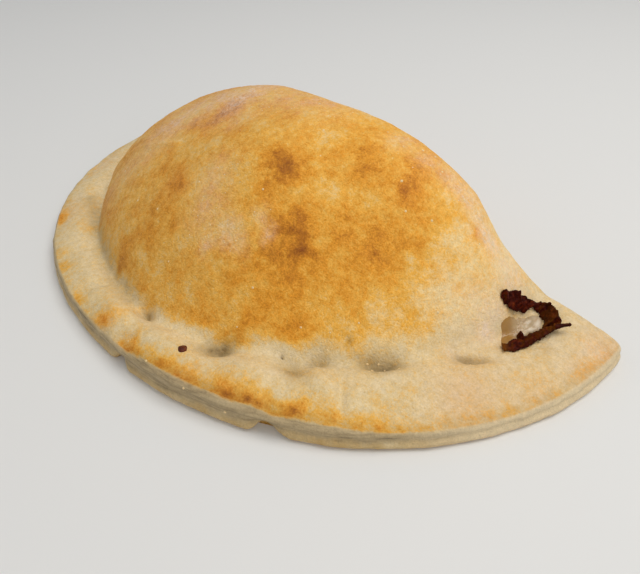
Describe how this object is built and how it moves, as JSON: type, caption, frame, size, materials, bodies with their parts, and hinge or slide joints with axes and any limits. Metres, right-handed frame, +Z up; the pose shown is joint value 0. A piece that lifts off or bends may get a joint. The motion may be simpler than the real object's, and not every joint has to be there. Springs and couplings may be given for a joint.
{
  "type": "steak and cheese stromboli",
  "caption": "Half-moon folded turnover of baked dough with a sealed puffed rim, burst near one tip where crisped steak and melted cheese show.",
  "frame": {"origin": "under the middle of the crust's box, on the plane it rests on", "axes": "+X along the length towards the end where the filling shows, +Y towards the straight fold, -Y towards the curved sealed rim, +Z up"},
  "size_m": [0.3214, 0.1567, 0.0767],
  "materials": {
    "baked_crust": "matte baked dough, golden on the dome and pale cream on the rim",
    "crisped_steak": "dark brown crisped meat with a slight sheen of fat",
    "melted_cheese": "soft glossy melted cheese"
  },
  "bodies": {
    "root": {"crust": "baked_crust", "steak_curl": "crisped_steak", "cheese_melt": "melted_cheese"}
  },
  "joints": []
}
